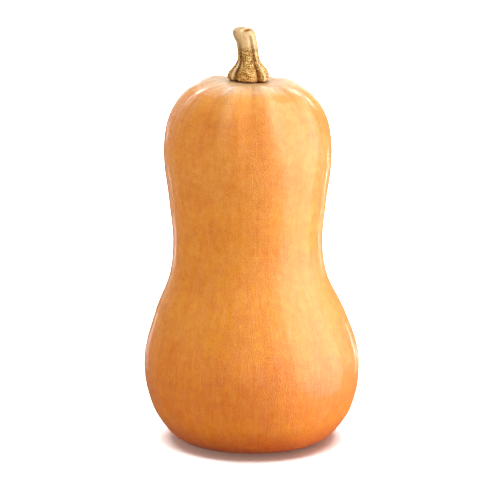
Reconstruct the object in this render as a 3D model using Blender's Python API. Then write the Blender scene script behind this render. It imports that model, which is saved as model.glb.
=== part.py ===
"""A whole butternut squash that stands on its blossom end, with the cut stalk still on its crown.

Metres, +Z up. The origin is the middle of the flat ring that the fruit stands on. The front is -Y.
"""

import math

import bmesh
import bpy
from mathutils import Matrix, Vector

MM = 0.001

# The fruit, from its blossom end up to its crown
SCAR_RADIUS = 3.8 * MM
SCAR_FOOT_RADIUS = 4.5 * MM
SCAR_RECESS = 1.1 * MM
DIMPLE_RADIUS = 11.0 * MM
DIMPLE_SIDE = (8.2, 0.8)
DIMPLE_DEPTH = 2.0 * MM
FOOT_RADIUS = 23.0 * MM
LOWER_SIDE = ((34.5, 0.9), (45.0, 2.9), (51.3, 8.6), (59.2, 22.0))
BULB = (63.4, 48.0)
BULB_SHOULDER = ((55.5, 76.0), (46.3, 98.0))
WAIST = (43.7, 118.0)
NECK = ((46.0, 142.0), (49.1, 172.0), (45.3, 192.0))
CROWN_EDGE = ((36.0, 205.2), (26.0, 210.8))
SEAT_RADIUS = 14.5 * MM
CROWN_HEIGHT = 212.0 * MM

# The neck leans a little off the bulb's axis, its top comes partly back, and the crown is higher on its left
NECK_LEAN = Vector((-2.3, 1.5)) * MM
CROWN_RETURN = 0.4
RETURN_START = 165.0 * MM
CROWN_TILT = math.radians(1.7)
TILT_START = 130.0 * MM

# Low ribs run from the crown down the neck and nearly fade out, and the whole fruit swells unevenly.
# Each swell is its lobes round the fruit, its height, where it starts, and how it turns with height
RIBS = 10
RIB_HEIGHT = 0.65 * MM
RIB_START = 165.0 * MM
RIB_SHARE_BELOW = 0.15
RIB_UNEVENNESS = 0.25
UNEVEN_LOBES = 3
RIB_FADE_END = 26.0 * MM
SWELLS = ((2, 0.6 * MM, 1.6, 6.0), (3, 0.4 * MM, 2.1, 9.0))
SWELL_START = 3.0 * MM
SWELL_END = 40.0 * MM

# The hollow in the crown that the stalk's root fills
ROOT_RADIUS = 7.6 * MM
ROOT_DEPTH = 3.2 * MM
CLEARANCE = 0.35 * MM

# The stalk, from its foot on the crown up to its cut end:
# height, sideways lean, radius, depth of the grooves as a share of the radius, and tilt in degrees
STALK = (
    (0.35, -0.4, 11.4, 0.24, 0.0),
    (1.4, -0.6, 12.6, 0.28, 0.0),
    (3.0, -0.5, 12.9, 0.31, 0.0),
    (5.4, -0.5, 12.1, 0.34, 0.0),
    (7.8, -0.5, 9.9, 0.32, 0.0),
    (10.1, -0.7, 7.9, 0.27, 0.0),
    (13.7, -1.0, 6.5, 0.22, 0.0),
    (18.5, -1.6, 6.2, 0.19, -4.0),
    (23.3, -2.6, 6.2, 0.17, -9.0),
    (26.0, -3.6, 6.6, 0.14, -10.0),
    (28.0, -4.4, 6.5, 0.12, -7.0),
    (29.2, -4.8, 5.7, 0.10, -5.0),
)
# Five ridges run up the stalk, a broad one on the front and two on each side. These are the angles from the
# front ridge of grooves and crests in turn, in degrees, up to the groove at the back
RIGHT_PLACES = (0.0, 36.0, 52.0, 90.0, 130.0, 180.0)
LEFT_PLACES = (0.0, 46.0, 68.0, 100.0, 138.0, 180.0)
RIDGE_BREADTH = 0.45
RIDGE_START = math.radians(-93.0)
RIDGE_TWIST = math.radians(3.2)
TWIST_LENGTH = 10.0 * MM
CUT_RIM = 0.80
PITH_RADIUS = 0.42
PITH_DEPTH = 1.0 * MM

# How finely the solids are divided
FRUIT_SIDES = 80
FRUIT_STEP = 6.4 * MM
CURVE_STEPS = 12
STALK_SIDES = 60
MERGE_DISTANCE = 0.01 * MM
FRUIT_EDGE_ANGLE = math.radians(40)
STALK_EDGE_ANGLE = math.radians(50)


def smooth_step(value, start, end):
    """0 before start and 1 after end, with a soft change between them."""
    share = min(max((value - start) / (end - start), 0.0), 1.0)
    return share * share * (3.0 - 2.0 * share)


def through(points, per_span):
    """Points along a smooth curve through the given ones (a centripetal Catmull-Rom curve)."""
    ends = [2 * points[0] - points[1], *points, 2 * points[-1] - points[-2]]
    curve = []
    for p0, p1, p2, p3 in zip(ends, ends[1:], ends[2:], ends[3:]):
        t1 = (p1 - p0).length ** 0.5
        t2 = t1 + (p2 - p1).length ** 0.5
        t3 = t2 + (p3 - p2).length ** 0.5
        for step in range(per_span):
            t = t1 + (t2 - t1) * step / per_span
            a1 = p0.lerp(p1, t / t1)
            a2 = p1.lerp(p2, (t - t1) / (t2 - t1))
            a3 = p2.lerp(p3, (t - t2) / (t3 - t2))
            b1 = a1.lerp(a2, t / t2)
            b2 = a2.lerp(a3, (t - t1) / (t3 - t1))
            curve.append(b1.lerp(b2, (t - t1) / (t2 - t1)))
    return [*curve, points[-1].copy()]


def evenly(curve, step):
    """The curve's points again, the given step apart along it."""
    lengths = [0.0]
    for a, b in zip(curve, curve[1:]):
        lengths.append(lengths[-1] + (b - a).length)
    count = round(lengths[-1] / step)
    even = []
    span = 0
    for n in range(count + 1):
        wanted = lengths[-1] * n / count
        while span < len(curve) - 2 and lengths[span + 1] < wanted:
            span += 1
        share = (wanted - lengths[span]) / (lengths[span + 1] - lengths[span])
        even.append(curve[span].lerp(curve[span + 1], share))
    return even


def fruit_profile():
    """Half the fruit's section as (radius, height) points, from the blossom scar to the crown's hollow."""
    scar = [
        Vector((0.0, SCAR_RECESS)),
        Vector((SCAR_RADIUS, SCAR_RECESS)),
        Vector((SCAR_FOOT_RADIUS, DIMPLE_DEPTH)),
        Vector(DIMPLE_SIDE) * MM,
        Vector((DIMPLE_RADIUS, 0.0)),
    ]
    stations = [(FOOT_RADIUS / MM, 0.0), *LOWER_SIDE, BULB, *BULB_SHOULDER, WAIST, *NECK, *CROWN_EDGE]
    side = [Vector(station) * MM for station in stations]
    side.append(Vector((SEAT_RADIUS, CROWN_HEIGHT)))
    hollow = [
        Vector((ROOT_RADIUS + 2 * CLEARANCE, CROWN_HEIGHT)),
        Vector((ROOT_RADIUS + CLEARANCE, CROWN_HEIGHT - ROOT_DEPTH)),
        Vector((0.0, CROWN_HEIGHT - ROOT_DEPTH)),
    ]
    return scar + evenly(through(side, CURVE_STEPS), FRUIT_STEP) + hollow


def axis_at(height):
    """The fruit's middle at this height: over the origin in the bulb, and off to one side in the neck."""
    off = smooth_step(height, BULB[1] * MM, WAIST[1] * MM)
    back = smooth_step(height, RETURN_START, CROWN_HEIGHT)
    return NECK_LEAN * (off - CROWN_RETURN * back)


def relief(point):
    """How far the skin stands out at this point of the plain turned shape."""
    angle = math.atan2(point.y, point.x)
    radius = math.hypot(point.x, point.y)
    near_crown = smooth_step(point.z, RIB_START, CROWN_HEIGHT)
    off_seat = smooth_step(radius, SEAT_RADIUS, RIB_FADE_END)
    off_floor = smooth_step(point.z, SWELL_START, SWELL_END)
    uneven = 1.0 + RIB_UNEVENNESS * math.sin(UNEVEN_LOBES * angle)
    share = RIB_SHARE_BELOW + (1.0 - RIB_SHARE_BELOW) * near_crown
    rib = math.cos(RIBS * angle) * RIB_HEIGHT * uneven * share
    swell = sum(
        height * math.cos(lobes * angle + start + point.z * turns)
        for lobes, height, start, turns in SWELLS
    )
    return (rib + swell) * off_seat * off_floor


def lean_and_tilt(point):
    """The point moved with the neck's lean and the crown's tilt."""
    tilt = math.tan(CROWN_TILT) * smooth_step(point.z, TILT_START, CROWN_HEIGHT - ROOT_DEPTH)
    axis = axis_at(point.z)
    return Vector((point.x + axis.x, point.y + axis.y, point.z - tilt * point.x))


def new_object(name, mesh, material):
    mesh.name = name
    mesh.materials.append(material)
    made = bpy.data.objects.new(name, mesh)
    bpy.context.scene.collection.objects.link(made)
    return made


def smooth_mesh(bm, edge_angle):
    """The finished bmesh as a mesh that is shaded smooth, apart from its sharp edges."""
    mesh = bpy.data.meshes.new("shape")
    bmesh.ops.recalc_face_normals(bm, faces=bm.faces)
    bm.to_mesh(mesh)
    bm.free()
    mesh.shade_smooth()
    mesh.set_sharp_from_angle(angle=edge_angle)
    return mesh


def make_fruit(material):
    """The half section is spun round the upright axis, and then the skin is moved along its normals."""
    bm = bmesh.new()
    profile = [bm.verts.new((point.x, 0.0, point.y)) for point in fruit_profile()]
    edges = [bm.edges.new(pair) for pair in zip(profile, profile[1:])]
    bmesh.ops.spin(
        bm,
        geom=profile + edges,
        cent=(0.0, 0.0, 0.0),
        axis=(0.0, 0.0, 1.0),
        angle=2 * math.pi,
        steps=FRUIT_SIDES,
        use_merge=True,
    )
    bmesh.ops.remove_doubles(bm, verts=bm.verts, dist=MERGE_DISTANCE)
    bmesh.ops.recalc_face_normals(bm, faces=bm.faces)
    bm.normal_update()
    for vert in bm.verts:
        vert.co += vert.normal * relief(vert.co)
    for vert in bm.verts:
        vert.co = lean_and_tilt(vert.co)
    return new_object("fruit", smooth_mesh(bm, FRUIT_EDGE_ANGLE), material)


def crest_share(angle, height):
    """0 in a groove of the stalk and 1 on a crest."""
    turn = angle - RIDGE_START + RIDGE_TWIST * height / TWIST_LENGTH
    off_front = math.degrees(math.remainder(turn, 2 * math.pi))
    places = RIGHT_PLACES if off_front > 0.0 else LEFT_PLACES
    number = max(sum(abs(off_front) > place for place in places) - 1, 0)
    way = number + (abs(off_front) - places[number]) / (places[number + 1] - places[number])
    return (0.5 + 0.5 * math.cos(math.pi * way)) ** RIDGE_BREADTH


def ring(bm, height, lean, radius, groove, tilt):
    """One cross-section of the stalk: a circle with blunt ridges, tipped to follow the stalk's bend."""
    place = Matrix.Translation((lean, 0.0, height)) @ Matrix.Rotation(tilt, 4, "Y")
    made = bmesh.ops.create_circle(bm, segments=STALK_SIDES, radius=radius)
    for vert in made["verts"]:
        angle = math.atan2(vert.co.y, vert.co.x)
        vert.co *= 1.0 - groove * (1.0 - crest_share(angle, height))
        vert.co = place @ vert.co
    return list({edge for vert in made["verts"] for edge in vert.link_edges})


def make_stalk(material):
    """Rings from the root up to the cut end are bridged into one skin, and both ends are closed."""
    stations = [
        (height * MM, lean * MM, radius * MM, groove, math.radians(tilt))
        for height, lean, radius, groove, tilt in STALK
    ]
    height, lean, radius, groove, tilt = stations[-1]
    sections = [
        (-ROOT_DEPTH + CLEARANCE, 0.0, ROOT_RADIUS - CLEARANCE, 0.0, 0.0),
        (CLEARANCE, 0.0, ROOT_RADIUS, 0.0, 0.0),
        *stations,
        (height, lean, radius * CUT_RIM, groove, tilt),
        (height - PITH_DEPTH, lean, radius * PITH_RADIUS, 0.0, tilt),
    ]
    bm = bmesh.new()
    rings = [ring(bm, *section) for section in sections]
    for lower, upper in zip(rings, rings[1:]):
        bmesh.ops.bridge_loops(bm, edges=lower + upper)
    for end in (rings[0], rings[-1]):
        bmesh.ops.contextual_create(bm, geom=end)
    return new_object("stalk", smooth_mesh(bm, STALK_EDGE_ANGLE), material)


def principled(name, colour, roughness):
    material = bpy.data.materials.new(name)
    material.use_nodes = True
    shader = material.node_tree.nodes["Principled BSDF"]
    shader.inputs["Base Color"].default_value = (*colour, 1.0)
    shader.inputs["Roughness"].default_value = roughness
    shader.inputs["Metallic"].default_value = 0.0
    return material


def crown_seat():
    """An empty in the middle of the crown, tilted as the crown is, that carries the stalk."""
    seat = bpy.data.objects.new("crown_seat", None)
    seat.location = (*axis_at(CROWN_HEIGHT), CROWN_HEIGHT)
    seat.rotation_euler = (0.0, CROWN_TILT, 0.0)
    bpy.context.scene.collection.objects.link(seat)
    return seat


def main():
    for old in list(bpy.data.objects):
        bpy.data.objects.remove(old)
    skin = principled("waxy_rind", (0.76, 0.33, 0.09), 0.42)
    bark = principled("dry_stalk", (0.42, 0.27, 0.10), 0.85)
    make_fruit(skin)
    stalk = make_stalk(bark)
    stalk.parent = crown_seat()


main()
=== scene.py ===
# %% [markdown]
# # A butternut squash, from two plain solids to a finished picture
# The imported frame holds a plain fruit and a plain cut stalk, in metres, with Z up and the front at -Y. This
# lesson builds a finer skin for each of them. First comes the big form as a cage of rings, then the small
# dents, wrinkles and warts, which are moved into the mesh, and last the colours, which nodes paint from
# numbers that the mesh carries. Working from large to small keeps every step easy to check.

# %% Load the frame
import math

import bpy
import numpy as np
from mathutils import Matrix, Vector, kdtree, noise


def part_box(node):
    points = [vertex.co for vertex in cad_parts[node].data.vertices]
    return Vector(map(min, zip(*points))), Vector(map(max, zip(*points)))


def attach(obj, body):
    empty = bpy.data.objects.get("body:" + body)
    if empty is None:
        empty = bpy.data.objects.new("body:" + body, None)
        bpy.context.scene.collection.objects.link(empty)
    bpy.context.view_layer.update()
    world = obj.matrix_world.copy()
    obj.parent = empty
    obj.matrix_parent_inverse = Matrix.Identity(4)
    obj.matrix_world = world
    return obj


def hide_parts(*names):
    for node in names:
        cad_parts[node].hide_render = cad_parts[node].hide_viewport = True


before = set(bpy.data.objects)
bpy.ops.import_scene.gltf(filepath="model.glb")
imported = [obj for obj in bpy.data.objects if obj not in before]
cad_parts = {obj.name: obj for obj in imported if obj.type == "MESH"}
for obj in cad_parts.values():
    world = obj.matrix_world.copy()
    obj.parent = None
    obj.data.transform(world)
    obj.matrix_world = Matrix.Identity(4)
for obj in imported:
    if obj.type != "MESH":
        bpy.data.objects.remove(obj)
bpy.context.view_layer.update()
MM = 0.001

# %% [markdown]
# ## Look from where the photo was taken
# The photo looks down on the squash by 13 degrees, from far enough away that its sides hardly taper. A
# camera can be turned by eye, but then every later comparison drifts. Here it is placed by its distance, its
# elevation and the width of what it sees, so that the picture's edges fall where the photo's do.

# %% Camera
CAMERA_ELEVATION = math.radians(13.0)
CAMERA_DISTANCE = 1.5
CAMERA_REACH = 100.0
CAMERA_TARGET = Vector((-1.3, 0.0, 112.5)) * MM
FIELD_WIDTH = 290.7 * MM
SENSOR_WIDTH = 36.0

away = Vector((0.0, -math.cos(CAMERA_ELEVATION), math.sin(CAMERA_ELEVATION)))
bpy.ops.object.camera_add(
    location=CAMERA_TARGET + CAMERA_DISTANCE * away,
    rotation=(math.pi / 2 - CAMERA_ELEVATION, 0.0, 0.0),
)
camera = bpy.context.object
camera.name = "camera"
camera.data.sensor_width = SENSOR_WIDTH
camera.data.lens = SENSOR_WIDTH * CAMERA_DISTANCE / FIELD_WIDTH
camera.data.clip_end = CAMERA_REACH
bpy.context.scene.camera = camera
print("lens in mm:", round(camera.data.lens, 1))

# %% [markdown]
# ## Tools that both pieces share
# A fruit and its stalk are both stacks of rings, so both can be made as a hand would: add one circle, extrude
# its edge, resize the new ring, and so on up to the top, where the last ring is merged to a point. A turned
# profile would do as well, but rings let the crease of each edge be set while that ring is still selected.

# %% Smooth curves
def through(stations, per_span):
    """A smooth curve that passes through every station and makes no loops, as rows of numbers."""
    points = np.array(stations, dtype=float)
    ends = np.vstack([2 * points[0] - points[1], points, 2 * points[-1] - points[-2]])
    curve = []
    for p0, p1, p2, p3 in zip(ends, ends[1:], ends[2:], ends[3:]):
        t1 = np.linalg.norm((p1 - p0)[:2]) ** 0.5
        t2 = t1 + np.linalg.norm((p2 - p1)[:2]) ** 0.5
        t3 = t2 + np.linalg.norm((p3 - p2)[:2]) ** 0.5
        for t in np.linspace(t1, t2, per_span, endpoint=False):
            a1 = p0 + (p1 - p0) * t / t1
            a2 = p1 + (p2 - p1) * (t - t1) / (t2 - t1)
            a3 = p2 + (p3 - p2) * (t - t2) / (t3 - t2)
            b1 = a1 + (a2 - a1) * t / t2
            b2 = a2 + (a3 - a2) * (t - t1) / (t3 - t1)
            curve.append(b1 + (b2 - b1) * (t - t1) / (t2 - t1))
    return np.array([*curve, points[-1]])


def lengths_along(curve):
    """How far along the curve each of its points is."""
    steps = np.linalg.norm(np.diff(curve[:, :2], axis=0), axis=1)
    return np.concatenate([[0.0], np.cumsum(steps)])


bow = through(((0.0, 0.0), (1.0, 1.0), (2.0, 0.0)), 8)
print("length of a bow that is 2 wide and 1 high:", round(lengths_along(bow)[-1], 2))

# %% Rings by hand
SMOOTHING_TIMES = 2


def ring_cage(name, sides, rings):
    """A closed skin: a filled circle, then a ring extruded and resized for each (radius, height, crease)."""
    bpy.ops.object.select_all(action="DESELECT")
    radius, height, crease = rings[0]
    bpy.ops.mesh.primitive_circle_add(
        vertices=sides, radius=radius, fill_type="TRIFAN", location=(0, 0, height), enter_editmode=True
    )
    piece = bpy.context.object
    piece.name = piece.data.name = name
    bpy.ops.mesh.region_to_loop()
    bpy.ops.transform.edge_crease(value=crease)
    for next_radius, next_height, crease in rings[1:]:
        bpy.ops.mesh.extrude_region_move(TRANSFORM_OT_translate={"value": (0, 0, next_height - height)})
        growth = next_radius / radius
        bpy.ops.transform.resize(value=(growth, growth, 1.0), center_override=(0.0, 0.0, next_height))
        bpy.ops.transform.edge_crease(value=crease)
        radius, height = next_radius, next_height
    bpy.ops.mesh.extrude_region_move(TRANSFORM_OT_translate={"value": (0, 0, 0)})
    bpy.ops.mesh.merge(type="CENTER")
    bpy.ops.mesh.select_all(action="SELECT")
    bpy.ops.mesh.normals_make_consistent(inside=False)
    bpy.ops.object.mode_set(mode="OBJECT")
    bpy.ops.object.transform_apply(location=True, rotation=True, scale=True)
    return piece


def subdivide(piece):
    """The cage is rounded and divided by a Subdivision Surface modifier, which is then applied."""
    bpy.ops.object.modifier_add(type="SUBSURF")
    rounding = piece.modifiers[-1]
    rounding.levels = rounding.render_levels = SMOOTHING_TIMES
    bpy.ops.object.modifier_apply(modifier=rounding.name)
    bpy.ops.object.shade_smooth()


print("faces from each four-sided face of a cage:", 4**SMOOTHING_TIMES)

# %% [markdown]
# ## The fruit's big form
# A butternut is a round seed bulb below and solid flesh above, so its side swells, draws in to a waist and
# swells again. A stretched sphere has no waist. A row of stations, each a radius and a height in mm, gives
# the real side, and one smooth curve runs through them all. Rings stand closer where the side turns sharply,
# at the base and at the crown's edge, because a subdivided cage pulls in most where it bends most.

# %% Fruit stations
SCAR = ((3.8, 1.1, 0.7), (4.5, 2.0, 0.3), (8.2, 0.8, 0.0), (11.0, 0.0, 0.0), (17.0, 0.0, 0.0))
SIDE = (
    (23.0, 0.0),
    (34.5, 0.9),
    (45.0, 2.9),
    (51.3, 8.6),
    (59.2, 22.0),
    (63.4, 48.0),
    (55.5, 76.0),
    (46.3, 98.0),
    (43.7, 118.0),
    (46.0, 142.0),
    (49.1, 172.0),
    (45.3, 192.0),
    (36.0, 205.2),
    (26.0, 210.8),
    (14.5, 212.0),
)
CROWN = 212.0
WAIST = 118.0
BULB = 48.0
SEAT_RADIUS = 14.5
ROOT_RADIUS = 7.6
ROOT_DEPTH = 3.2
CLEARANCE = 0.35
FRUIT_SIDES = 80
WIDE_STEP = 6.6
CLOSE_STEP = 3.6
SHARP_TURN = 0.022
CURVE_STEPS = 24

side = through(SIDE, CURVE_STEPS)
side_lengths = lengths_along(side)
print("fruit side in mm:", round(side_lengths[-1], 1))

# %% Fruit cage
side_slope = np.unwrap(np.arctan2(np.gradient(side[:, 1]), np.gradient(side[:, 0])))
turning = np.abs(np.gradient(side_slope, side_lengths))
step = np.where(turning > SHARP_TURN, CLOSE_STEP, WIDE_STEP)
ring_number = np.concatenate([[0.0], np.cumsum(np.diff(side_lengths) / (0.5 * (step[1:] + step[:-1])))])
ring_count = round(ring_number[-1]) + 1
ring_lengths = np.interp(np.linspace(0, ring_number[-1], ring_count), ring_number, side_lengths)
hollow = (
    (11.5, CROWN, 0.0),
    (ROOT_RADIUS + 2 * CLEARANCE, CROWN, 0.8),
    (ROOT_RADIUS + CLEARANCE, CROWN - ROOT_DEPTH, 1.0),
    (ROOT_RADIUS / 2, CROWN - ROOT_DEPTH, 0.0),
)
side_rings = [
    (np.interp(along, side_lengths, side[:, 0]), np.interp(along, side_lengths, side[:, 1]), 0.0)
    for along in ring_lengths
]
rings = [(radius * MM, height * MM, crease) for radius, height, crease in (*SCAR, *side_rings, *hollow)]
fruit = ring_cage("squash_fruit", FRUIT_SIDES, rings)
subdivide(fruit)
print("fruit rings:", len(rings), "faces:", len(fruit.data.polygons))

# %% [markdown]
# ## From big form to small forms
# A mesh keeps its vertices in long rows of numbers. Small forms are made by reading a whole row at once,
# changing it by a formula and writing it back. Moving vertices one at a time by hand would do for one dent,
# but not for wrinkles on tens of thousands of them.

# %% Vertices as rows of numbers
def get_points(piece):
    flat = np.empty(len(piece.data.vertices) * 3)
    piece.data.vertices.foreach_get("co", flat)
    return flat.reshape(-1, 3)


def set_points(piece, points):
    piece.data.vertices.foreach_set("co", points.ravel())
    piece.data.update()


def get_normals(piece):
    flat = np.empty(len(piece.data.vertices) * 3)
    piece.data.vertex_normals.foreach_get("vector", flat)
    return flat.reshape(-1, 3)


points = get_points(fruit) / MM
print("fruit vertices:", len(points))

# %% [markdown]
# ## The fruit's growth lines, ribs and dents
# Everything on the rind runs from the blossom scar to the stalk, because that is how the fruit stretched as
# it grew. So each vertex first learns where it is on that flow: its angle, and its way along the side. Ribs
# and fine wrinkles are then waves and noise in those two numbers, and the vertices move out or in along their
# normals by that much. A texture could fake this, but then the outline would stay as smooth as a pipe.

# %% Where each vertex is on the flow
FLOW_RADIUS = 50.0
FOOT_RADIUS = SIDE[0][0]

angle = np.arctan2(points[:, 1], points[:, 0])
radius = np.hypot(points[:, 0], points[:, 1])
height = points[:, 2].copy()
finder = kdtree.KDTree(len(side))
for number, (r, z) in enumerate(side[:, :2]):
    finder.insert((r, z, 0.0), number)
finder.balance()
nearest = np.array([finder.find((r, z, 0.0))[1] for r, z in zip(radius, height)])
inside_foot = (radius < FOOT_RADIUS) & (height < CROWN / 2)
way = np.where(inside_foot, radius - FOOT_RADIUS, side_lengths[nearest])
tangent = np.gradient(side, axis=0)[nearest]
tangent /= np.linalg.norm(tangent, axis=1)[:, None]
offset = np.stack([radius, height], axis=1) - side[nearest]
way = np.where(radius > FOOT_RADIUS, way + np.sum(offset * tangent, axis=1), way)
flow = np.stack([np.cos(angle) * FLOW_RADIUS, np.sin(angle) * FLOW_RADIUS, way], axis=1)
print("way along the side in mm:", round(way.min(), 1), "to", round(way.max(), 1))

# %% Soft steps
def smooth_step(value, start, end):
    """0 before start and 1 after end, with a soft change between them."""
    share = np.clip((value - start) / (end - start), 0.0, 1.0)
    return share * share * (3.0 - 2.0 * share)


quarters = [round(float(smooth_step(part / 4, 0.0, 1.0)), 2) for part in range(5)]
print("soft step in quarters:", quarters)

# %% Ribs and swells, as on the frame
RIBS = 10
RIB_HEIGHT = 0.65
RIB_SHARE_BELOW = 0.15
RIB_START = 165.0
RIB_UNEVENNESS = 0.25
UNEVEN_LOBES = 3
RIB_FADE_END = 26.0
SWELLS = ((2, 0.6, 1.6, 0.006), (3, 0.4, 2.1, 0.009))
SWELL_START = 3.0
SWELL_END = 40.0

near_crown = smooth_step(height, RIB_START, CROWN)
off_seat = smooth_step(radius, SEAT_RADIUS, RIB_FADE_END)
off_floor = smooth_step(height, SWELL_START, SWELL_END)
rib_share = RIB_SHARE_BELOW + (1.0 - RIB_SHARE_BELOW) * near_crown
uneven = 1.0 + RIB_UNEVENNESS * np.sin(UNEVEN_LOBES * angle)
rib = np.cos(RIBS * angle) * RIB_HEIGHT * uneven * rib_share
swell = sum(tall * np.cos(lobes * angle + start + height * turns) for lobes, tall, start, turns in SWELLS)
form = (rib + swell) * off_seat * off_floor
print("ribs and swells in mm:", round(form.min(), 2), "to", round(form.max(), 2))

# %% Noise
def grain(places, size, octaves=2):
    """Smooth noise of about -1 to 1 at each place, in lumps of about this size."""
    scaled = places / np.array(size)
    return np.array([noise.fractal(Vector(place), 1.0, 2.0, octaves) for place in scaled])


print("noise at three places:", grain(points[:3], (9.0, 9.0, 9.0)).round(2))

# %% Narrow grooves, wrinkles and dents
GROOVE_DEPTH = 0.30
GROOVE_FULL = 206.0
GROOVE_LAG = 1.1
GROOVE_SHARPNESS = 4
GROOVE_PATCHES = (20.0, 20.0, 200.0)
GROOVE_SHARE, GROOVE_CHANGE = 0.6, 0.8
WANDER = 0.25
WANDER_SIZE = (60.0, 60.0, 90.0)
WRINKLE_DEPTH = 0.10
WRINKLE_SIZE = (3.2, 3.2, 40.0)
DENT_DEPTH = 0.22
DENT_SIZE = (26.0, 26.0, 30.0)
PIT_DEPTH = 0.05
PIT_SIZE = (5.0, 5.0, 6.0)
SMOOTH_SEAT = (ROOT_RADIUS + 1.0, 12.0)
SMOOTH_FOOT = (0.3, 6.0)

wander = WANDER * grain(flow, WANDER_SIZE, 2)
finer = 0.5 + 0.5 * np.cos(2 * RIBS * (angle + wander) + GROOVE_LAG)
groove = -GROOVE_DEPTH * (1.0 - finer) ** GROOVE_SHARPNESS * smooth_step(height, RIB_START, GROOVE_FULL)
groove *= GROOVE_SHARE + GROOVE_CHANGE * grain(flow, GROOVE_PATCHES, 1)
wrinkle = WRINKLE_DEPTH * grain(flow, WRINKLE_SIZE, 3)
dent = DENT_DEPTH * grain(points, DENT_SIZE, 2)
pit = PIT_DEPTH * grain(points, PIT_SIZE, 2)
fine = groove * off_seat + (wrinkle + dent + pit) * smooth_step(radius, *SMOOTH_SEAT)
relief = form + fine * smooth_step(height, *SMOOTH_FOOT)
points += get_normals(fruit) * relief[:, None]
print("fine relief in mm:", round((relief - form).min(), 2), "to", round((relief - form).max(), 2))

# %% Lean and tilt, as on the frame
NECK_LEAN = (-2.3, 1.5)
CROWN_RETURN = 0.4
RETURN_START = 165.0
CROWN_TILT = math.radians(1.7)
TILT_START = 130.0


def axis_at(height):
    """How far the fruit's middle is off to the side at this height, as a share of the neck's lean."""
    return smooth_step(height, BULB, WAIST) - CROWN_RETURN * smooth_step(height, RETURN_START, CROWN)


tilt = math.tan(CROWN_TILT) * smooth_step(points[:, 2], TILT_START, CROWN - ROOT_DEPTH)
lean = axis_at(points[:, 2])
points[:, 2] -= tilt * points[:, 0]
points[:, 0] += NECK_LEAN[0] * lean
points[:, 1] += NECK_LEAN[1] * lean
points[:, 2] = np.maximum(points[:, 2], 0.0)
set_points(fruit, points * MM)
print("lean at the waist in mm:", [round(float(part * axis_at(WAIST)), 2) for part in NECK_LEAN])

# %% [markdown]
# The colours later have to follow the ribs and grooves, so the numbers that made them are kept on the mesh,
# one for each vertex and name. A map painted by hand would do that too, but it would have to be painted again
# after each change of form.

# %% Numbers that the rind's colours read
SEAT_SHADOW_EDGE = (9.8, 12.0)


def keep_number(piece, name, values):
    """One number for each vertex, which a material reads by this name."""
    piece.data.attributes.new(name, "FLOAT", "POINT").data.foreach_set("value", values)


def keep_place(piece, name, places):
    """Three numbers for each vertex, which a material reads by this name as a place."""
    piece.data.attributes.new(name, "FLOAT_VECTOR", "POINT").data.foreach_set("vector", places.ravel())


keep_place(fruit, "flow", flow * MM)
keep_number(fruit, "rib", rib / RIB_HEIGHT)
keep_number(fruit, "groove", groove / GROOVE_DEPTH)
# seat: where a painted shadow darkens the rind round the stalk's foot
keep_number(fruit, "seat", (1.0 - smooth_step(radius, *SEAT_SHADOW_EDGE)) * (height > CROWN / 2))
print("kept on the fruit:", len(fruit.data.attributes))

# %% Compare with the frame
def compare_box(points, node):
    """How far this skin's low and high corners are from its node's in the frame."""
    low, high = (np.array(corner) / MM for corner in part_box(node))
    print(node, "low and high against the frame's in mm:",
          np.round(points.min(axis=0) - low, 2), np.round(points.max(axis=0) - high, 2))


compare_box(points, "fruit")

# %% [markdown]
# ## The stalk
# The dry stalk is a short woody column with a flared foot. The cut end bends to the left and is a little
# wider than the middle. It could be drawn along a bent curve, but ridges and warts are easier to carve on a
# straight column. So it is built straight, and then leaned and tipped ring by ring as the frame's is. Each
# station holds a height, a sideways lean, a radius, the depth of the grooves as a share of it, and a tilt.

# %% Stalk stations
STALK = (
    (0.35, -0.4, 11.4, 0.24, 0.0),
    (1.4, -0.6, 12.6, 0.28, 0.0),
    (3.0, -0.5, 12.9, 0.31, 0.0),
    (5.4, -0.5, 12.1, 0.34, 0.0),
    (7.8, -0.5, 9.9, 0.32, 0.0),
    (10.1, -0.7, 7.9, 0.27, 0.0),
    (13.7, -1.0, 6.5, 0.22, 0.0),
    (18.5, -1.6, 6.2, 0.19, -4.0),
    (23.3, -2.6, 6.2, 0.17, -9.0),
    (26.0, -3.6, 6.6, 0.14, -10.0),
    (28.0, -4.4, 6.5, 0.12, -7.0),
    (29.2, -4.8, 5.7, 0.10, -5.0),
)
CUT_RIM = 0.80
CUT_SLOPE = 0.66
CUT_SLOPE_DEPTH = 0.35
PITH_RADIUS = 0.42
PITH_DEPTH = 1.0
STALK_SIDES = 64
STALK_STEP = 0.85

top, top_radius = STALK[-1][0], STALK[-1][2]
heights = np.linspace(STALK[0][0], top, round((top - STALK[0][0]) / STALK_STEP) + 1)
curve = through([(row[2], row[0], row[1], row[3], row[4]) for row in STALK], CURVE_STEPS // 2)
order = np.argsort(curve[:, 1])
radii = np.interp(heights, curve[order, 1], curve[order, 0])
print("stalk height in mm:", top)

# %% Stalk cage
root = (
    (ROOT_RADIUS - CLEARANCE - 1.5, CLEARANCE - ROOT_DEPTH, 0.0),
    (ROOT_RADIUS - CLEARANCE, CLEARANCE - ROOT_DEPTH, 1.0),
    (ROOT_RADIUS, CLEARANCE, 0.8),
)
cut_end = (
    (top_radius * CUT_RIM, top, 0.5),
    (top_radius * CUT_SLOPE, top - CUT_SLOPE_DEPTH, 0.0),
    (top_radius * PITH_RADIUS, top - 0.6 * PITH_DEPTH, 0.3),
    (top_radius * PITH_RADIUS * 0.6, top - PITH_DEPTH, 0.0),
)
stalk_rings = [*root, *((r, h, 0.0) for r, h in zip(radii, heights)), *cut_end]
stalk = ring_cage("squash_stalk", STALK_SIDES, [(r * MM, h * MM, crease) for r, h, crease in stalk_rings])
subdivide(stalk)
print("stalk rings:", len(stalk_rings), "faces:", len(stalk.data.polygons))

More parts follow.
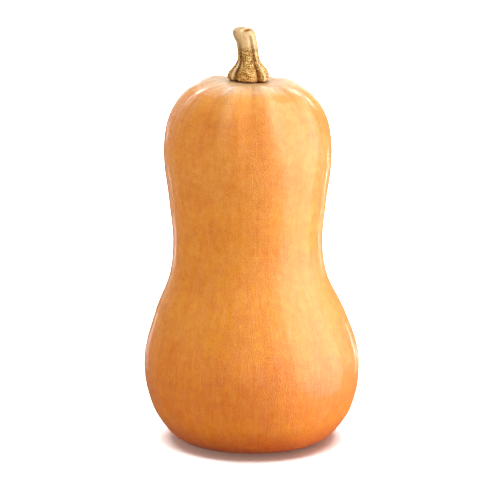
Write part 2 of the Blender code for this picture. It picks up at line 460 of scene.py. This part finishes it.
# %% [markdown]
# ### Its ridges
# Five blunt ridges run up the stalk and turn a little on the way: a broad one on the front and two on each
# side. A plain wave with five crests would space them evenly and show three like lobes in front. So the
# angles of the grooves and crests are listed, from the front ridge round to the back, for each side.

# %% Ridges
RIGHT_PLACES = (0.0, 36.0, 52.0, 90.0, 130.0, 180.0)
LEFT_PLACES = (0.0, 46.0, 68.0, 100.0, 138.0, 180.0)
RIDGE_BREADTH = 0.45
RIDGE_START = math.radians(-93.0)
RIDGE_TWIST = math.radians(0.32)
BARK_START = 0.6
CUT_EDGE = 0.2
CUT_FACE = 0.7

points = get_points(stalk) / MM
angle = np.arctan2(points[:, 1], points[:, 0])
radius = np.hypot(points[:, 0], points[:, 1])
height = points[:, 2].copy()
turn = angle - RIDGE_START + RIDGE_TWIST * height
off_front = np.degrees(np.arctan2(np.sin(turn), np.cos(turn)))
on_right = off_front > 0.0
right_ridges = np.interp(np.abs(off_front), RIGHT_PLACES, range(len(RIGHT_PLACES)))
left_ridges = np.interp(np.abs(off_front), LEFT_PLACES, range(len(LEFT_PLACES)))
ridges_off = np.where(on_right, right_ridges, left_ridges)
ridge = 0.5 + 0.5 * np.cos(math.pi * ridges_off)
crest = ridge ** RIDGE_BREADTH
on_bark = smooth_step(height, 0.0, BARK_START)
off_cut = 1.0 - smooth_step(height, top - CUT_EDGE, top) * (radius < top_radius * CUT_FACE)
depth = np.interp(height, [row[0] for row in STALK], [row[3] for row in STALK]) * on_bark
points[:, :2] *= (1.0 - depth * (1.0 - crest) * off_cut)[:, None]
set_points(stalk, points * MM)
print("grooves in mm:", round((radius - np.hypot(points[:, 0], points[:, 1])).max(), 2), "at the deepest")

# %% [markdown]
# ### Its bark
# The lower bark is rough with corky warts. Further up it turns smooth and shows its fibres. A pale line runs
# up beside the front ridge on the right, and a shorter one on the left. Their cream colour is partly the
# bark's own and partly a painted highlight. Warts could be made one by one, but there are far too many, so
# each vertex takes its height from how near it is to the next random point.

# %% Warts, fibres and pale lines
WART_SIZE = 0.66
WART_HEIGHT = 0.42
WART_REACH = 0.75
WART_FLOOR = 0.4
WARTY_FROM = (0.5, 1.5)
WARTY_TO = (17.0, 22.0)
LUMP_HEIGHT = 0.12
LUMP_SIZE = (1.8, 1.8, 2.2)
FIBRE_HEIGHT = 0.10
FIBRE_SIZE = (0.9, 0.9, 9.0)
ROUND_RADIUS = 7.0
LINE_SMOOTHNESS = 0.7
RIGHT_LINE = (1.60, 1.85, 1.92, 2.08)
LEFT_LINE = (1.18, 1.32, 1.40, 1.55)
LEFT_LINE_TOP = (10.0, 14.0)

around = np.stack([np.cos(angle) * ROUND_RADIUS, np.sin(angle) * ROUND_RADIUS, height], axis=1)
warty = smooth_step(height, *WARTY_FROM) * (1.0 - smooth_step(height, *WARTY_TO))
nearest_wart = np.array([noise.voronoi(Vector(place) / WART_SIZE)[0][0] for place in points])
wart = 1.0 - np.clip(nearest_wart / WART_REACH, 0.0, 1.0)
lump = grain(around, LUMP_SIZE, 2)
fibre = grain(around, FIBRE_SIZE, 2)
right_line, left_line = (
    on_side * smooth_step(ridges_off, *line[:2]) * (1.0 - smooth_step(ridges_off, *line[2:]))
    for on_side, line in ((on_right, RIGHT_LINE), (~on_right, LEFT_LINE))
)
on_line = right_line + left_line * (1.0 - smooth_step(height, *LEFT_LINE_TOP))
rough = WART_HEIGHT * (wart - WART_FLOOR) + LUMP_HEIGHT * lump
bark = warty * (1.0 - LINE_SMOOTHNESS * on_line) * rough + FIBRE_HEIGHT * fibre * on_bark
points += get_normals(stalk) * (bark * off_cut)[:, None]
print("bark relief in mm:", round(bark.min(), 2), "to", round(bark.max(), 2))

# %% Slant of the cut
CUT_SLANT = 1.0
SLANT_SIDE = math.radians(-60.0)
SLANT_START = top - 5.0

slant = CUT_SLANT * smooth_step(height, SLANT_START, top) * radius / top_radius
points[:, 2] -= slant * np.cos(angle - SLANT_SIDE)
print("cut slants by mm:", round(slant.max(), 2))

# %% Lean and tip the stalk, and set it on the crown
seat = Vector((NECK_LEAN[0] * axis_at(CROWN), NECK_LEAN[1] * axis_at(CROWN), CROWN))
sideways = np.interp(height, curve[order, 1], curve[order, 2])
tip = np.radians(np.interp(height, curve[order, 1], curve[order, 4]))
above = points[:, 2] - height
x = sideways + points[:, 0] * np.cos(tip) + above * np.sin(tip)
z = height - points[:, 0] * np.sin(tip) + above * np.cos(tip)
points[:, 0] = seat.x + x * math.cos(CROWN_TILT) + z * math.sin(CROWN_TILT)
points[:, 1] += seat.y
points[:, 2] = seat.z - x * math.sin(CROWN_TILT) + z * math.cos(CROWN_TILT)
set_points(stalk, points * MM)
print("stalk's seat in mm:", [round(part, 1) for part in seat])
compare_box(points, "stalk")

# %% Numbers that the bark's colours read
PITH_OFFSET = 2.4
CUT_HEIGHT = 1.5
LEFT_SHADE_RIDGES = (0.6, 1.0)
LEFT_SHADE_UP = (5.0, 13.0)
LUMP_IN_WART = 0.25

off_pith = np.hypot(radius * np.cos(angle) - PITH_OFFSET, radius * np.sin(angle)) / (top_radius * CUT_RIM)
in_cut = (height > top - CUT_HEIGHT) * (radius < top_radius * CUT_RIM)
# the stalk's left side, away from the main light, is painted darker as shade
left_painted_shade = ~on_right * smooth_step(ridges_off, *LEFT_SHADE_RIDGES) * smooth_step(height, *LEFT_SHADE_UP)
keep_number(stalk, "ridge", ridge)
keep_number(stalk, "pale_line", on_line)
keep_number(stalk, "left_painted_shade", left_painted_shade)
keep_number(stalk, "cut", np.clip(1.0 - off_pith, 0.0, 1.0) * in_cut)
keep_number(stalk, "wart", np.clip(wart + LUMP_IN_WART * lump, 0.0, 1.0))
keep_number(stalk, "warty", warty)
keep_number(stalk, "up", height / top)
keep_place(stalk, "round_place", around * MM)
print("kept on the stalk:", len(stalk.data.attributes))

# %% [markdown]
# ## Finishes
# Rind and bark look quite different, but both are streaked along their growth and mottled all over, so those
# two effects are node groups, each built once and given its own numbers in each finish. A photo could be
# wrapped round the fruit instead, but its light and its one side would come with it.

# %% Node helpers
def add_node(tree, kind, inputs=None, **settings):
    """A node with its settings and inputs filled in. An input is a value or another node's output."""
    made = tree.nodes.new(kind)
    for name, value in settings.items():
        setattr(made, name, value)
    for name, value in (inputs or {}).items():
        if isinstance(value, bpy.types.NodeSocket):
            tree.links.new(value, made.inputs[name])
        else:
            made.inputs[name].default_value = value
    return made


def kept_number(tree, name):
    """The number that the mesh carries under this name."""
    return add_node(tree, "ShaderNodeAttribute", attribute_name=name).outputs["Fac"]


def kept_place(tree, name):
    return add_node(tree, "ShaderNodeAttribute", attribute_name=name).outputs["Vector"]


def between(tree, value, start, end, low=0.0, high=1.0):
    """The value's way from start to end, as a number from low to high."""
    inputs = {"Value": value, "From Min": start, "From Max": end, "To Min": low, "To Max": high}
    return add_node(tree, "ShaderNodeMapRange", inputs).outputs["Result"]


def reckon(tree, operation, a, b=0.0):
    return add_node(tree, "ShaderNodeMath", {0: a, 1: b}, operation=operation).outputs[0]


def times(tree, a, b):
    return reckon(tree, "MULTIPLY", a, b)


# %% Colour and group helpers
def blend(tree, share, under, over, kind="MIX"):
    """Over laid on under by this share."""
    made = tree.nodes.new("ShaderNodeMix")
    made.data_type = "RGBA"
    made.blend_type = kind
    for socket, value in zip((made.inputs[0], made.inputs[6], made.inputs[7]), (share, under, over)):
        if isinstance(value, bpy.types.NodeSocket):
            tree.links.new(value, socket)
        elif socket.type == "RGBA":
            socket.default_value = (*value, 1.0)
        else:
            socket.default_value = value
    return made.outputs[2]


def ramp(tree, value, stops):
    """A colour for each value, from (value, colour) stops."""
    made = add_node(tree, "ShaderNodeValToRGB", {"Fac": value})
    made.color_ramp.interpolation = "LINEAR"
    while len(made.color_ramp.elements) < len(stops):
        made.color_ramp.elements.new(0.5)
    for element, (place, colour) in zip(made.color_ramp.elements, stops):
        element.position = place
        element.color = (*colour, 1.0)
    return made.outputs["Color"]


def new_group(name, inputs, outputs):
    """An empty node group with these named inputs, each with its usual value, and these named outputs."""
    tree = bpy.data.node_groups.new(name, "ShaderNodeTree")
    for label, value in inputs.items():
        kind = "NodeSocketVector" if value is None else "NodeSocketFloat"
        socket = tree.interface.new_socket(label, in_out="INPUT", socket_type=kind)
        if value is not None:
            socket.default_value = value
    for label in outputs:
        tree.interface.new_socket(label, in_out="OUTPUT", socket_type="NodeSocketFloat")
    return tree, tree.nodes.new("NodeGroupInput"), tree.nodes.new("NodeGroupOutput")


def use_group(tree, group, **inputs):
    """The mask that this group makes from these inputs."""
    return add_node(tree, "ShaderNodeGroup", inputs, node_tree=group).outputs["Mask"]


# %% Streaks group
streaks, given, result = new_group(
    "growth_streaks", {"Place": None, "Width": 1.0, "Length": 1.0, "Low": 0.35, "High": 0.65}, ["Mask"]
)
shrink = reckon(streaks, "DIVIDE", 1.0, given.outputs["Width"])
shorten = reckon(streaks, "DIVIDE", 1.0, given.outputs["Length"])
scale = add_node(streaks, "ShaderNodeCombineXYZ", {"X": shrink, "Y": shrink, "Z": shorten}).outputs[0]
stretched = add_node(
    streaks, "ShaderNodeVectorMath", {0: given.outputs["Place"], 1: scale}, operation="MULTIPLY"
).outputs[0]
wave = add_node(
    streaks, "ShaderNodeTexNoise", {"Vector": stretched, "Scale": 1.0, "Detail": 3.0, "Roughness": 0.55}
).outputs["Fac"]
mask = between(streaks, wave, given.outputs["Low"], given.outputs["High"])
streaks.links.new(mask, result.inputs["Mask"])

# %% Mottling group
mottling, given, result = new_group(
    "soft_mottling", {"Place": None, "Size": 1.0, "Detail": 3.0, "Low": 0.35, "High": 0.65}, ["Mask"]
)
scale = reckon(mottling, "DIVIDE", 1.0, given.outputs["Size"])
blobs = add_node(
    mottling,
    "ShaderNodeTexNoise",
    {"Vector": given.outputs["Place"], "Scale": scale, "Detail": given.outputs["Detail"], "Roughness": 0.6},
).outputs["Fac"]
mask = between(mottling, blobs, given.outputs["Low"], given.outputs["High"])
mottling.links.new(mask, result.inputs["Mask"])
print("node groups:", [group.name for group in bpy.data.node_groups])


# %% Finish helper
def new_finish(name):
    """A material with its tree, its Principled shader and its place on the piece."""
    material = bpy.data.materials.new(name)
    material.use_nodes = True
    tree = material.node_tree
    place = add_node(tree, "ShaderNodeTexCoord").outputs["Object"]
    return material, tree, tree.nodes["Principled BSDF"], place


# %% [markdown]
# ### The rind
# A ripe butternut is tan to orange under a thin bloom of wax, palest on the crown and deepest at the base.
# The colours by height also hold painted light and shade: the pale top of the crown is partly a painted
# highlight.
# First comes the plain colour at each height, set by comparing rows of the picture with the photo
# under these lamps. Streaks along the growth, clouds and freckles then darken it, each as one thin layer over
# the one before, and a pale bloom lies on the ribs. One busy pattern would be less work, but layers can be
# made stronger or weaker one at a time while looking at the real thing.

# %% Rind colours
RIND_AND_PAINTED_LIGHT_BY_HEIGHT = (
    (0.03, (0.96, 0.207, 0.002)),
    (0.09, (0.96, 0.317, 0.001)),
    (0.15, (0.88, 0.275, 0.001)),
    (0.23, (0.82, 0.273, 0.001)),
    (0.36, (0.82, 0.324, 0.003)),
    (0.5, (0.84, 0.327, 0.009)),
    (0.64, (0.91, 0.363, 0.023)),
    (0.78, (0.88, 0.366, 0.046)),
    (0.91, (0.79, 0.301, 0.002)),
    (0.975, (0.87, 0.393, 0.030)),
    (1.0, (0.82, 0.610, 0.500)),
)
DEEPER = (0.93, 0.79, 0.40)
DARKER = (0.84, 0.68, 0.42)
BLOOM = (0.98, 0.64, 0.33)
SEAT_PAINTED_SHADOW = (0.60, 0.30, 0.12)
SCAR_BROWN = (0.30, 0.17, 0.07)
FRUIT_TOP = 212.7 * MM

rind, tree, shader, place = new_finish("waxy_rind")
flow_place = kept_place(tree, "flow")
height_up = add_node(tree, "ShaderNodeSeparateXYZ", {"Vector": place}).outputs["Z"]
up = between(tree, height_up, 0.0, FRUIT_TOP)
# colours by height: the rind's own colour plus painted light and shade tuned under these lamps; the top stop
# is partly a painted highlight
colour = ramp(tree, up, RIND_AND_PAINTED_LIGHT_BY_HEIGHT)
print("colours from base to crown:", len(RIND_AND_PAINTED_LIGHT_BY_HEIGHT))

# %% Rind masks
SCAR_EDGE = (5.0 * MM, 3.6 * MM)
SCAR_TOP = (0.1, 0.05)

wide = use_group(tree, streaks, Place=flow_place, Width=4.5 * MM, Length=60 * MM, Low=0.42, High=0.72)
narrow = use_group(tree, streaks, Place=flow_place, Width=0.8 * MM, Length=8 * MM, Low=0.35, High=0.70)
veil = use_group(tree, streaks, Place=flow_place, Width=1.0 * MM, Length=12 * MM, Low=0.45, High=0.75)
patch = use_group(tree, mottling, Place=place, Size=18 * MM, Detail=3.0, Low=0.45, High=0.66)
cloud = use_group(tree, mottling, Place=place, Size=4 * MM, Detail=4.0)
speckle = use_group(tree, mottling, Place=place, Size=0.5 * MM, Detail=2.0, Low=0.40, High=0.64)
freckle = use_group(tree, mottling, Place=place, Size=2.0 * MM, Detail=1.0, Low=0.66, High=0.76)
rib_here = between(tree, kept_number(tree, "rib"), 0.2, 1.0)
groove_here = between(tree, kept_number(tree, "groove"), -0.1, -0.8)
sideways_only = add_node(
    tree, "ShaderNodeVectorMath", {0: place, 1: (1.0, 1.0, 0.0)}, operation="MULTIPLY"
).outputs[0]
off_axis = add_node(tree, "ShaderNodeVectorMath", {0: sideways_only}, operation="LENGTH").outputs["Value"]
scar_here = times(tree, between(tree, off_axis, *SCAR_EDGE), between(tree, up, *SCAR_TOP))
print("nodes for the rind's masks:", len(tree.nodes))

# %% Rind layers
DARK_LAYERS = (
    (wide, 0.35, DEEPER),
    (patch, 0.70, DEEPER),
    (cloud, 0.95, DEEPER),
    (narrow, 0.50, DEEPER),
    (speckle, 0.95, DARKER),
    (freckle, 0.35, DARKER),
)
VEIL_SHARE = 0.12
RIB_BLOOM_SHARE = 0.15
RIB_GROOVE_SHARE = 0.5

for mask, share, tint in DARK_LAYERS:
    colour = blend(tree, times(tree, mask, share), colour, tint, "MULTIPLY")
colour = blend(tree, times(tree, veil, VEIL_SHARE), colour, BLOOM)
colour = blend(tree, times(tree, rib_here, RIB_BLOOM_SHARE), colour, BLOOM)
colour = blend(tree, times(tree, groove_here, RIB_GROOVE_SHARE), colour, DEEPER, "MULTIPLY")
# painted shadow on the rind round the stalk's foot
colour = blend(tree, kept_number(tree, "seat"), colour, SEAT_PAINTED_SHADOW, "MULTIPLY")
colour = blend(tree, scar_here, colour, SCAR_BROWN)
tree.links.new(colour, shader.inputs["Base Color"])
print("layers on the rind:", len(DARK_LAYERS) + 5)

# %% [markdown]
# The wax gives two kinds of gloss at once: a broad soft sheen, and thin bright lines where a narrow light
# glances off the side. One roughness can't do both. So the skin keeps a middling roughness that varies with
# the clouds, and a thin clear coat that is much smoother lies over it. The coat is thinner near the floor.

# %% Rind gloss
SKIN_ROUGHNESS = (0.40, 0.48)
SKIN_SHINE = 0.6
COAT_FULL = 0.12
COAT_WEIGHT = (0.1, 0.35)
COAT_ROUGHNESS = 0.11

tree.links.new(between(tree, cloud, 0.0, 1.0, *SKIN_ROUGHNESS), shader.inputs["Roughness"])
tree.links.new(between(tree, up, 0.0, COAT_FULL, *COAT_WEIGHT), shader.inputs["Coat Weight"])
shader.inputs["Specular IOR Level"].default_value = SKIN_SHINE
shader.inputs["Coat Roughness"].default_value = COAT_ROUGHNESS
print("rind roughness:", SKIN_ROUGHNESS, "and of its coat:", COAT_ROUGHNESS)

# %% Rind pores
PORE_SIZE = 0.6 * MM
PORE_DEPTH = 0.55 * MM

pores = add_node(
    tree, "ShaderNodeTexNoise", {"Vector": place, "Scale": 1 / PORE_SIZE, "Detail": 2.0, "Roughness": 0.6}
).outputs["Fac"]
bump = add_node(tree, "ShaderNodeBump", {"Height": pores, "Strength": 1.0, "Distance": PORE_DEPTH})
tree.links.new(bump.outputs["Normal"], shader.inputs["Normal"])
fruit.data.materials.append(rind)
print("rind nodes:", len(tree.nodes))

# %% [markdown]
# ### The dry stalk
# Dry stalk bark is straw on its crests, brown in its grooves and pits, and dusty all over, with no gloss. The
# smooth part near the cut is paler, and the cut end shows a spot of brown pith. The numbers that the mesh
# carries say where each colour goes, so the colours always fit the carving, which paint in space would not.

# %% Bark colours
STRAW = (0.70, 0.38, 0.085)
PALE_STRAW = (1.0, 0.78, 0.30)
CREAM = (0.92, 0.76, 0.46)
BROWN = (0.16, 0.042, 0.004)
TAN = (0.48, 0.20, 0.028)
SMOOTH_TAN = (0.84, 0.62, 0.32)
OLIVE = (0.26, 0.18, 0.045)
SHADOW_BROWN = (0.05, 0.008, 0.002)
PITH = (0.46, 0.15, 0.03)
BARK_BY_WART = ((0.12, BROWN), (0.26, TAN), (0.40, STRAW), (0.56, PALE_STRAW))
CUT_BY_PITH = ((0.35, SMOOTH_TAN), (0.50, TAN), (0.65, PITH), (0.92, BROWN))
print("bark colours from pit to crest:", len(BARK_BY_WART))

# %% Bark masks
bark_finish, tree, shader, place = new_finish("dry_bark")
ridge_here, line_here, left_shade_here, cut_here, wart_here, warty_here, up_here = (
    kept_number(tree, name) for name in ("ridge", "pale_line", "left_painted_shade", "cut", "wart", "warty", "up")
)
round_here = kept_place(tree, "round_place")
fibres = use_group(tree, streaks, Place=round_here, Width=0.6 * MM, Length=7 * MM, Low=0.38, High=0.66)
dust = use_group(tree, mottling, Place=place, Size=0.8 * MM, Detail=3.0)
blotch = use_group(tree, mottling, Place=place, Size=3.0 * MM, Detail=3.0)
less_above = between(tree, up_here, 0.8, 0.5, 0.2, 0.75)
in_groove = times(tree, between(tree, ridge_here, 0.35, 0.02), less_above)
low_down = between(tree, up_here, 0.45, 0.10, 0.0, 0.30)
# pale lines beside the front ridge: cream, partly the bark's own colour and partly a painted highlight
pale_line_and_highlight = times(tree, line_here, between(tree, dust, 0.0, 1.0, 0.85, 0.45))
at_cut = between(tree, cut_here, 0.0, 0.1)
# painted contact shadow at the bottom of the stalk
foot_painted_shadow = between(tree, up_here, 0.06, 0.015)
print("nodes for the bark's masks:", len(tree.nodes))

# %% Bark layers
FIBRE_SHARE = 0.45
BLOTCH_SHARE = 0.30
LEFT_SHADE_SHARE = 0.2
DUST_SHARE = 0.25
BARK_ROUGHNESS = 0.8
BARK_SHINE = 0.3

smooth_bark = blend(tree, times(tree, fibres, FIBRE_SHARE), SMOOTH_TAN, TAN)
pitted_bark = ramp(tree, wart_here, BARK_BY_WART)
colour = blend(tree, warty_here, smooth_bark, pitted_bark)
bark_layers = (
    (times(tree, blotch, BLOTCH_SHARE), OLIVE),
    (in_groove, BROWN),
    # painted shade on the stalk's left side
    (times(tree, left_shade_here, LEFT_SHADE_SHARE), BROWN),
    (times(tree, dust, DUST_SHARE), BROWN),
    (low_down, TAN),
    # pale lines, partly a painted highlight
    (pale_line_and_highlight, CREAM),
    (at_cut, ramp(tree, cut_here, CUT_BY_PITH)),
    # painted contact shadow at the stalk's foot
    (foot_painted_shadow, SHADOW_BROWN),
)
for mask, tint in bark_layers:
    colour = blend(tree, mask, colour, tint)
tree.links.new(colour, shader.inputs["Base Color"])
shader.inputs["Roughness"].default_value = BARK_ROUGHNESS
shader.inputs["Specular IOR Level"].default_value = BARK_SHINE
print("layers on the bark:", len(bark_layers))

# %% Bark grit
GRIT_SIZE = 0.5 * MM
GRIT_DEPTH = 0.4 * MM

grit = add_node(
    tree, "ShaderNodeTexNoise", {"Vector": place, "Scale": 1 / GRIT_SIZE, "Detail": 3.0, "Roughness": 0.6}
).outputs["Fac"]
bump = add_node(tree, "ShaderNodeBump", {"Height": grit, "Strength": 1.0, "Distance": GRIT_DEPTH})
tree.links.new(bump.outputs["Normal"], shader.inputs["Normal"])
stalk.data.materials.append(bark_finish)
print("bark nodes:", len(tree.nodes))

# %% [markdown]
# ## Tie the new skins to the frame
# Each new skin stands for the plain solid of the same part and rides on the same body. The frame's own
# solids stay where they are, hidden, and still carry the physics.

# %% Ride and replace
for piece, node, slot in ((fruit, "fruit", "rind"), (stalk, "stalk", "stalk")):
    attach(piece, "root")
    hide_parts(node)
print("pieces:", fruit.name, stalk.name)

# %% [markdown]
# ## The floor
# The photo was taken on a white sweep that the light burns out to white, all but the shadow under the fruit.
# Here the floor is one large flat sheet, because a sheet that curves up behind would show in side views. The
# camera sees it white, but the squash sees a dull grey one, which keeps its base as deep in colour as in the
# photo. A faint warm glow stands for the orange light that the fruit throws into its own shadow. Far away the
# sheet glows plain white, so that no horizon shows.

# %% Floor
FLOOR_SIZE = 6.0
FLOOR_COLOUR = (0.90, 0.90, 0.90)
FLOOR_BOUNCE = (0.20, 0.17, 0.15)
FLOOR_WARMTH = (0.20, 0.11, 0.08)
FAR_FLOOR = (1.0, 1.0, 1.0)
FAR_START, FAR_END = 0.3, 0.8
WARM_SIDES = (0.04, -0.03)
WARM_SHARES = (0.6, 1.0)
FLOOR_ROUGHNESS = 0.9
FLOOR_SHINE = 0.1

bpy.ops.object.select_all(action="DESELECT")
bpy.ops.mesh.primitive_plane_add(size=FLOOR_SIZE, location=(0.0, 0.0, 0.0))
floor = bpy.context.object
floor.name = "floor"
white, tree, shader, place = new_finish("white_sweep")
seen = add_node(tree, "ShaderNodeLightPath").outputs["Is Camera Ray"]
tree.links.new(blend(tree, seen, FLOOR_BOUNCE, FLOOR_COLOUR), shader.inputs["Base Color"])
shader.inputs["Roughness"].default_value = FLOOR_ROUGHNESS
shader.inputs["Specular IOR Level"].default_value = FLOOR_SHINE
across = add_node(tree, "ShaderNodeSeparateXYZ", {"Vector": place}).outputs["X"]
off_middle = add_node(tree, "ShaderNodeVectorMath", {0: place}, operation="LENGTH").outputs["Value"]
far = between(tree, off_middle, FAR_START, FAR_END)
tree.links.new(blend(tree, far, FLOOR_WARMTH, FAR_FLOOR), shader.inputs["Emission Color"])
glow = reckon(tree, "MAXIMUM", far, between(tree, across, *WARM_SIDES, *WARM_SHARES))
tree.links.new(times(tree, seen, glow), shader.inputs["Emission Strength"])
floor.data.materials.append(white)
floor.visible_glossy = False
print("floor in m:", FLOOR_SIZE)

# %% [markdown]
# ## Studio light
# In a studio one big soft box at the right would shade the squash, shine on it and light the floor all at
# once. Here the three jobs are shared out, because then each can be matched to the photo without spoiling
# the others: form lamps shade the squash but never show in its gloss, sheen lamps show only in its gloss,
# and floor lamps reach only the floor.

# %% Lamp helpers
LIGHT_TARGET = Vector((0.0, 0.0, 120.0)) * MM


def soften(lamp, width, height, power):
    """A rectangular soft box of this size and power, which the camera does not see."""
    lamp.data.shape = "RECTANGLE"
    lamp.data.size = width
    lamp.data.size_y = height
    lamp.data.energy = power
    lamp.visible_camera = False
    return lamp


def add_box(name, side_angle, elevation, distance, width, height, power):
    """A soft box that faces the squash. The side angle runs from the front round to the right."""
    turn, rise = math.radians(side_angle), math.radians(elevation)
    towards = Vector((math.sin(turn) * math.cos(rise), -math.cos(turn) * math.cos(rise), math.sin(rise)))
    bpy.ops.object.light_add(type="AREA", location=LIGHT_TARGET + distance * towards)
    lamp = bpy.context.object
    lamp.name = name
    lamp.rotation_euler = towards.to_track_quat("Z", "Y").to_euler()
    return soften(lamp, width, height, power)


def shine_only_on(lamps, name, pieces):
    """These lamps light only these pieces."""
    lit = bpy.data.collections.new(name)
    for piece in pieces:
        lit.objects.link(piece)
    for lamp in lamps:
        lamp.light_linking.receiver_collection = lit


print("lamps face the point in mm:", [round(part / MM, 1) for part in LIGHT_TARGET])

# %% Form lamps
form_lamps = [
    add_box("main_box", 78.0, 22.0, 1.15, 0.75, 1.2, 14.6),
    add_box("low_box", 78.0, 5.0, 1.15, 0.75, 0.6, 4.4),
    add_box("front_box", 40.0, 8.0, 1.2, 0.5, 0.6, 6.0),
    add_box("left_box", -75.0, 12.0, 1.1, 0.6, 0.8, 4.5),
    add_box("left_edge_box", -115.0, 0.0, 1.1, 0.5, 0.8, 0.6),
    add_box("right_edge_box", 120.0, 0.0, 1.1, 0.5, 0.8, 1.1),
    add_box("upper_left_box", -50.0, 45.0, 1.1, 0.4, 0.4, 3.7),
]
for lamp in form_lamps:
    lamp.visible_glossy = False
print("form lamps:", [lamp.name for lamp in form_lamps])

# %% [markdown]
# ### Light for the gloss
# Just inside its outline the photo shows thin pale lines. A side that turns away mirrors what stands far
# behind it, so two narrow strips stand there, and small boxes carry the line on over the shoulders. They
# follow an arch around the direction straight away from the camera, because a round shape mirrors such an
# arch as a line at one distance from its edge. The broad sheen at the right fades out softly. A single box
# would end it with a hard edge, so boxes of growing size lie in one another there.

# %% Strips behind the squash
sheen_lamps = [
    add_box("left_strip", -146.0, 0.0, 1.0, 0.02, 0.9, 0.3),
    add_box("right_strip", 145.0, -12.0, 1.0, 0.02, 0.25, 0.24),
    add_box("edge_sheen", 115.0, 12.0, 1.1, 0.5, 0.9, 1.8),
]
print("strips:", [lamp.name for lamp in sheen_lamps])

# %% Arch of small boxes
ARCH_SPREAD = math.radians(34.0)
ARCH_DISTANCE = 1.0
ARCH_BOX = (0.14, 0.10)
ARCH = (
    (-1.0, 20.0, 0.06),
    (-1.0, 35.0, 0.12),
    (-1.0, 50.0, 0.22),
    (-1.0, 65.0, 0.32),
    (1.0, 50.0, 0.20),
    (1.0, 65.0, 0.32),
)

outward, backward = math.sin(ARCH_SPREAD), math.cos(ARCH_SPREAD)
for hand, slope, power in ARCH:
    sideways = hand * outward * math.cos(math.radians(slope))
    upward = outward * math.sin(math.radians(slope)) - backward * math.sin(CAMERA_ELEVATION)
    round_angle = math.degrees(math.atan2(sideways, -backward))
    rise_angle = math.degrees(math.asin(upward))
    name = f"arch_{slope:.0f}_{'left' if hand < 0 else 'right'}"
    sheen_lamps.append(add_box(name, round_angle, rise_angle, ARCH_DISTANCE, *ARCH_BOX, power))
print("arch boxes:", len(ARCH))

# %% Nested boxes for the broad sheen
SHEEN_SHARES = (0.4, 0.7, 1.0, 1.3, 1.6)
SHEEN_PLACE = (78.0, 18.0, 1.15)
SHEEN_WIDTH = 0.9
SHEEN_HEIGHT = 1.4
SHEEN_POWER = 16.5

for share in SHEEN_SHARES:
    width, tall, power = SHEEN_WIDTH * share, SHEEN_HEIGHT * share, SHEEN_POWER * share**2
    sheen_lamps.append(add_box(f"sheen_box_{share}", *SHEEN_PLACE, width, tall, power))
print("nested boxes:", len(SHEEN_SHARES))

# %% Strips on the floor
FLOOR_STRIP_PLACE = (0.32, 0.47, 0.004)
FLOOR_STRIP_TURN = math.radians(-34.0)
FLOOR_STRIP_SIZE = (0.03, 0.9)
FLOOR_STRIP_POWER = 0.2

for hand in (-1.0, 1.0):
    sideways, backward, upward = FLOOR_STRIP_PLACE
    bpy.ops.object.light_add(
        type="AREA",
        location=(hand * sideways, backward, upward),
        rotation=(math.pi, 0.0, hand * FLOOR_STRIP_TURN),
    )
    lamp = bpy.context.object
    lamp.name = f"floor_strip_{hand}"
    sheen_lamps.append(soften(lamp, *FLOOR_STRIP_SIZE, FLOOR_STRIP_POWER))
for lamp in sheen_lamps:
    lamp.visible_diffuse = False
shine_only_on(form_lamps + sheen_lamps, "squash_only", (fruit, stalk))
print("sheen lamps:", len(sheen_lamps))

# %% [markdown]
# ### Light for the floor
# The photo's shadow is short and soft, and darkest right under the fruit, so most of the light on the floor
# comes from high up. Lamps low at the side would make it long and faint. Two large boxes without any limit
# then soften the whole scene.

# %% Floor lamps
floor_lamps = [
    add_box("floor_top", 0.0, 74.0, 2.4, 0.9, 0.9, 72.0),
    add_box("floor_right", 80.0, 66.0, 2.4, 0.8, 0.8, 54.0),
    add_box("floor_left", -90.0, 66.0, 2.4, 0.8, 0.8, 40.0),
    add_box("floor_back", 180.0, 50.0, 2.4, 1.0, 1.0, 34.0),
]
shine_only_on(floor_lamps, "floor_only", (floor,))
add_box("overhead_box", 0.0, 88.0, 2.2, 2.4, 2.4, 8.0)
add_box("sweep_box", 180.0, 40.0, 2.6, 2.4, 2.4, 34.0)

# %% [markdown]
# ### The room
# White walls all round send back a little light from everywhere. A room could be built for that, but a plain
# world colour does the same. The camera sees it white, and the gloss sees it darker, or it would veil the
# rind's colour. The Standard view keeps the whites white and the oranges as strong as they are here.

# %% Room light
ROOM_FILL = (0.33, 0.33, 0.33)
ROOM_GLOSS = (0.14, 0.14, 0.14)
ROOM_SEEN = (1.0, 1.0, 1.0)

world = bpy.data.worlds.new("white_room")
bpy.context.scene.world = world
world.use_nodes = True
tree = world.node_tree
path = add_node(tree, "ShaderNodeLightPath").outputs
level = blend(tree, path["Is Glossy Ray"], ROOM_FILL, ROOM_GLOSS)
level = blend(tree, path["Is Camera Ray"], level, ROOM_SEEN)
tree.links.new(level, tree.nodes["Background"].inputs["Color"])
bpy.context.scene.view_settings.view_transform = "Standard"
print("room light:", ROOM_FILL[0], "in the gloss:", ROOM_GLOSS[0])
